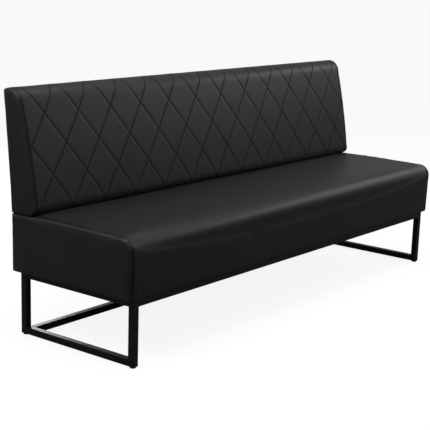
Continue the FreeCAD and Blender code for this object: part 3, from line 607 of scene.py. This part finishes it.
# Painted light: the same leather as the seat, given a lighter tone on the back's quilted face to stand in
# for the stronger light that falls on it.
back_leather_painted_lighter = leather("back_leather_painted_lighter", (0.0145, 0.0145, 0.015), (0.022, 0.022, 0.0225))
back_middle = Vector((0, 0.23, 0.66))
back_points = cross_section(back_corners, back_radii, back_bulges, back_arc_steps, back_line_steps)
back_at, back_marks = measured(back_points)
back_side = back_arc_steps + back_line_steps
back_top_start = back_marks[2 * back_side + back_arc_steps] + back_seam_past_corner
back_hem = back_marks[-1] + back_marks[back_arc_steps] + back_toe_turn
toe, brow = Vector(back_corners[0]), Vector(back_corners[3])
brow_start, front_height = back_marks[3 * back_side + back_arc_steps], (brow - toe).length
middle_row_share, diamond_share = 0.4775, 0.468
middle_row = brow_start + middle_row_share * front_height - (brow - back_at(brow_start)[0]).length
diamonds_across, quilting_length = 12, 1.956
quilt_pitch, diamond_height = quilting_length / diamonds_across, diamond_share * front_height
quilt_reach, quilt_fade, quilt_valley = diamond_height + 0.004, 0.004, 0.0010
brow_stretch, toe_stretch = 0.024, 0.006
cut_insets = (0, 0.001, 0.0025, 0.005, 0.009)
back_held_below = 0.452


def from_sewn_line(x, up):
    """Distance to the nearest sewn line of the flat quilting, measured across the line."""
    nearest, last_line = 1.0, diamonds_across // 2
    for lean in (-1, 1):
        offset = x / quilt_pitch - lean * up / diamond_height
        gap = abs(offset - max(-last_line, min(last_line, round(offset)))) * quilt_pitch
        nearest = min(nearest, gap * diamond_height / math.hypot(quilt_pitch, diamond_height))
    return nearest


def pulled(up):
    """Height on the back of a height on the flat quilting, whose ends are pulled over brow and toe."""
    over = max(0.0, 2 * abs(up) / diamond_height - 1)
    return up + (brow_stretch if up > 0 else -toe_stretch) * over * over


def quilted_sheet():
    """Sheet whose cells run along the sewn lines, finer beside them, cut to size and wrapped on the back."""
    cells, steps, fineness, weld, on_line_share = 16, 18, 0.85, 0.0007, 0.7
    bm = bmesh.new()
    bmesh.ops.create_grid(bm, x_segments=cells * steps, y_segments=cells * steps, size=cells / 2)
    crease_and_painted_shade = bm.verts.layers.float.new("crease_and_painted_shade")
    for vertex in bm.verts:
        a, b = (value - fineness * math.sin(math.tau * value) / math.tau for value in vertex.co.xy)
        x, up = quilt_pitch * (a + b) / 2, diamond_height * (a - b) / 2
        fade = max(0.0, min(1.0, (quilt_reach + quilt_fade / 2 - abs(up)) / quilt_fade))
        # Closeness to a sewn line: it sinks the valley below, and the leather's material paints shade along
        # the line with it.
        vertex[crease_and_painted_shade] = drawn_in_and_painted_shade(from_sewn_line(x, up)) * fade
        vertex.co = (x, pulled(up), 0)
    low, high = middle_row - back_hem, middle_row - back_top_start
    for inset in cut_insets:
        for point, way in (
            ((seam_x - seam_gap - inset, 0, 0), (1, 0, 0)),
            ((inset - seam_x + seam_gap, 0, 0), (-1, 0, 0)),
            ((0, high - inset, 0), (0, 1, 0)),
            ((0, low + inset, 0), (0, -1, 0)),
        ):
            bmesh.ops.bisect_plane(
                bm,
                geom=list(bm.verts) + list(bm.edges) + list(bm.faces),
                dist=1e-6,
                plane_co=point,
                plane_no=way,
                clear_outer=inset == 0,
            )
    bmesh.ops.remove_doubles(bm, verts=bm.verts, dist=weld)
    on_line = {vertex for vertex in bm.verts if vertex[crease_and_painted_shade] > on_line_share}
    for vertex in bm.verts:
        x, up = vertex.co.xy
        from_seam = seam_x - abs(x)
        sewn_in = max(quilt_valley * vertex[crease_and_painted_shade], sunk(from_seam))
        point, outward = back_at(middle_row - up)
        gathers = puckers(up * math.copysign(1, x), from_seam, 0.0005, 0.015)
        vertex.co = (x, *(point + outward * (gathers - sewn_in)))
        # Painted shade beside the end seams as well.
        vertex[crease_and_painted_shade] = max(vertex[crease_and_painted_shade], drawn_in_and_painted_shade(from_seam))
    face_outwards(bm, back_middle)
    return bm, on_line


back_front_bm, on_sewn_line = quilted_sheet()
filled(
    back_front_bm,
    lambda vertex: vertex in on_sewn_line or vertex.co.z < back_held_below,
    pressure=2.0,
    spare=0.002,
    most=0.0003,
)
back_skin = BVHTree.FromBMesh(back_front_bm)
back_front = sewn_object("back_quilted_leather", back_front_bm, back_leather_painted_lighter)


def back_rear_relief(x, place):
    """Flat rear panel, drawn in beside its end seams."""
    return -sunk(seam_x - abs(x)) + 0.0006 * noise.noise(Vector((x * 3.1, place * 4.2, 5.7)))


back_rear_start = back_marks[back_side] - back_rear_turn
back_rear_rows = rows_between(back_marks, back_rear_start, back_top_start - panel_gap)
back_rear_bm = wrapped_sheet(back_at, back_middle, back_rear_rows, 90, back_rear_relief)
back_rear = sewn_object("back_rear_leather", back_rear_bm, seat_leather)
back_ends = [
    upholster_end("back_%s_leather" % side_name, back_corners, back_radii, back_bulges, side)
    for side_name, side in (("left", -1), ("right", 1))
]
for piece, node_names in (
    (back_front, ["back_quilted_panel", "back_foam"]),
    (back_rear, ["back_rear_cover"]),
    (back_ends[0], ["back_left_cover"]),
    (back_ends[1], ["back_right_cover"]),
):
    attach(piece, "root")
    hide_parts(*node_names)


# Stitching
# Black bonded thread. It runs in every sewn line of the quilting, and in a row beside the end seams of
# the seat and the back, where the turned edges of the leather are sewn down flat.

stitch_pitch, stitch_length, thread_thickness = 0.0072, 0.0064, 0.0012
row_from_seam, clear_of_seam = 0.006, 0.003
seat_row_inset, back_row_inset, row_end_inset = 0.01, 0.006, 0.004


def thread_finish():
    """Black twisted thread: paler where the strands turn up, dull between them."""
    material, node, shader, links = new_material("black_thread")
    place = object_coordinates(node)
    strands = node("ShaderNodeTexWave", {"Vector": place, "Scale": 420.0, "Distortion": 2.0})
    tone = between(node, strands.outputs["Fac"], (0.001, 0.001, 0.001), (0.004, 0.004, 0.004))
    links.new(tone, shader.inputs["Base Color"])
    links.new(between(node, strands.outputs["Fac"], 0.5, 0.7), shader.inputs["Roughness"])
    bump = node("ShaderNodeBump", {"Height": strands.outputs["Fac"], "Strength": 0.4, "Distance": 0.0001})
    links.new(bump.outputs[0], shader.inputs["Normal"])
    shader.inputs["Specular IOR Level"].default_value = 0.3
    return material


def stitch_row(bm, skin, guide, length):
    """Row of stitches on a sheet. The guide gives the place at a share of the row's length."""
    count = round(length / stitch_pitch)
    reach = stitch_length / stitch_pitch / 2
    for number in range(count):
        shares = [(number + 0.5 + side) / count for side in (-reach, reach)]
        (start, normal, _, _), (end, _, _, _) = (skin.find_nearest(Vector(guide(share))) for share in shares)
        if max(abs(start.x), abs(end.x)) > seam_x - clear_of_seam:
            continue
        along = (end - start).normalized()
        beside = along.cross(normal).normalized()
        axes = Matrix((along, beside, along.cross(beside))).transposed()
        shape = Matrix.Diagonal((stitch_length / 2, thread_thickness / 2, thread_thickness / 2))
        place = Matrix.Translation((start + end) / 2) @ (axes @ shape).to_4x4()
        bmesh.ops.create_icosphere(bm, subdivisions=1, radius=1, matrix=place)


def sewn_line(line, lean):
    """Guide along one sewn line of the quilting."""
    def guide(share):
        up = quilt_reach * (2 * share - 1)
        x = (line + lean * up / diamond_height) * quilt_pitch
        return (x, *back_at(middle_row - pulled(up))[0])

    return guide


def beside_seam(at, side, low, high):
    """Guide along the end seam of one side, between two places on the outline."""
    def guide(share):
        return (side * (seam_x - row_from_seam), *at(low + (high - low) * share)[0])

    return guide


def thread_object(name, bm, material):
    """Finished stitching."""
    piece = mesh_object(name, bm, material)
    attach(piece, "root")


thread = thread_finish()
sewn_length = 2 * quilt_reach * math.hypot(1, quilt_pitch / diamond_height)
bm = bmesh.new()
for lean in (-1, 1):
    for line in range(-(diamonds_across // 2), diamonds_across // 2 + 1):
        stitch_row(bm, back_skin, sewn_line(line, lean), sewn_length)
thread_object("quilting_stitches", bm, thread)

bm = bmesh.new()
for side in (-1, 1):
    for at, skin, low, high in (
        (seat_at, seat_skin, seat_top_start + seat_row_inset, seat_marks[-1] - row_end_inset),
        (back_at, back_skin, back_top_start + back_row_inset, back_marks[-1] - row_end_inset),
    ):
        stitch_row(bm, skin, beside_seam(at, side, low, high), high - low)
thread_object("seam_stitches", bm, thread)


# Dust cover
# Thin black spun cloth stretched under the seat and stapled along its edge, over the turned leather hem.
# It is flat, with slight puckers near its edge.

def spun_cloth():
    """Matt black spun cloth with a fine dimpled bond and loose fibres."""
    material, node, shader, links = new_material("spun_dust_cloth")
    place = object_coordinates(node)
    dimples = node("ShaderNodeTexVoronoi", {"Vector": place, "Scale": 700.0}).outputs["Distance"]
    fibre_place = object_coordinates(node, (900, 120, 120))
    fibres = node("ShaderNodeTexNoise", {"Vector": fibre_place, "Scale": 1.0, "Detail": 3.0})
    tone = between(node, fibres.outputs["Fac"], (0.010, 0.010, 0.010), (0.026, 0.026, 0.026))
    links.new(tone, shader.inputs["Base Color"])
    links.new(between(node, dimples, 0.75, 0.95), shader.inputs["Roughness"])
    bump = node("ShaderNodeBump", {"Height": dimples, "Strength": 0.4, "Distance": 0.0002})
    links.new(bump.outputs[0], shader.inputs["Normal"])
    shader.inputs["Specular IOR Level"].default_value = 0.15
    return material


cloth_low, cloth_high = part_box("dust_cover")
cloth_length, cloth_depth = cloth_high[0] - cloth_low[0], cloth_high[1] - cloth_low[1]
cloth_middle_x, cloth_middle_y = (cloth_low[0] + cloth_high[0]) / 2, (cloth_low[1] + cloth_high[1]) / 2
cloth_thickness, cloth_sink, fold_height, fold_reach = 0.0003, 0.0006, 0.0003, 0.03
bm = bmesh.new()
bmesh.ops.create_grid(bm, x_segments=160, y_segments=44, size=0.5)
for vertex in bm.verts:
    along, beside = vertex.co.x * cloth_length, vertex.co.y * cloth_depth
    x, y = cloth_middle_x + along, cloth_middle_y + beside
    from_edge = min(cloth_length / 2 - abs(along), cloth_depth / 2 - abs(beside))
    folds = noise.noise(Vector((x * 34, y * 34, 2.2))) * math.exp(-from_edge / fold_reach)
    vertex.co = (x, y, cloth_high[2] - cloth_sink + fold_height * folds)
dust_cloth = mesh_object("dust_cloth", bm, spun_cloth())
cloth_wall = dust_cloth.modifiers.new("cloth_thickness", "SOLIDIFY")
cloth_wall.thickness, cloth_wall.offset = cloth_thickness, 0
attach(dust_cloth, "root")
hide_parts("dust_cover")


# Staples
# Zinc plated wire staples, driven through the edge of the dust cover and the hem into the plywood. Only
# the crown of each is made, as its legs are out of sight.

crown, wire, staple_inset, staple_lift = 0.0098, 0.0009, 0.006, 0.0001
long_edges = (44, cloth_length, cloth_depth, False)
short_edges = (12, cloth_depth, cloth_length, True)
bm = bmesh.new()
for count, run, width, turned in (long_edges, short_edges):
    for side in (-1, 1):
        for number in range(count):
            along = ((number + 0.5) / count - 0.5) * run
            beside = side * (width / 2 - staple_inset)
            x, y = (beside, along) if turned else (along, beside)
            middle = Vector((x, y + cloth_middle_y, cloth_low[2] + staple_lift))
            spin = Matrix.Rotation(math.pi / 2 if turned else 0, 4, "Z")
            scaled = Matrix.Diagonal((crown, wire, wire, 1))
            bmesh.ops.create_cube(bm, size=1, matrix=Matrix.Translation(middle) @ spin @ scaled)
bmesh.ops.bevel(
    bm,
    geom=list(bm.edges),
    offset=wire * 0.25,
    offset_type="OFFSET",
    segments=1,
    profile=0.5,
    affect="EDGES",
    material=-1,
)
staples = mesh_object("hem_staples", bm, zinc)
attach(staples, "root")
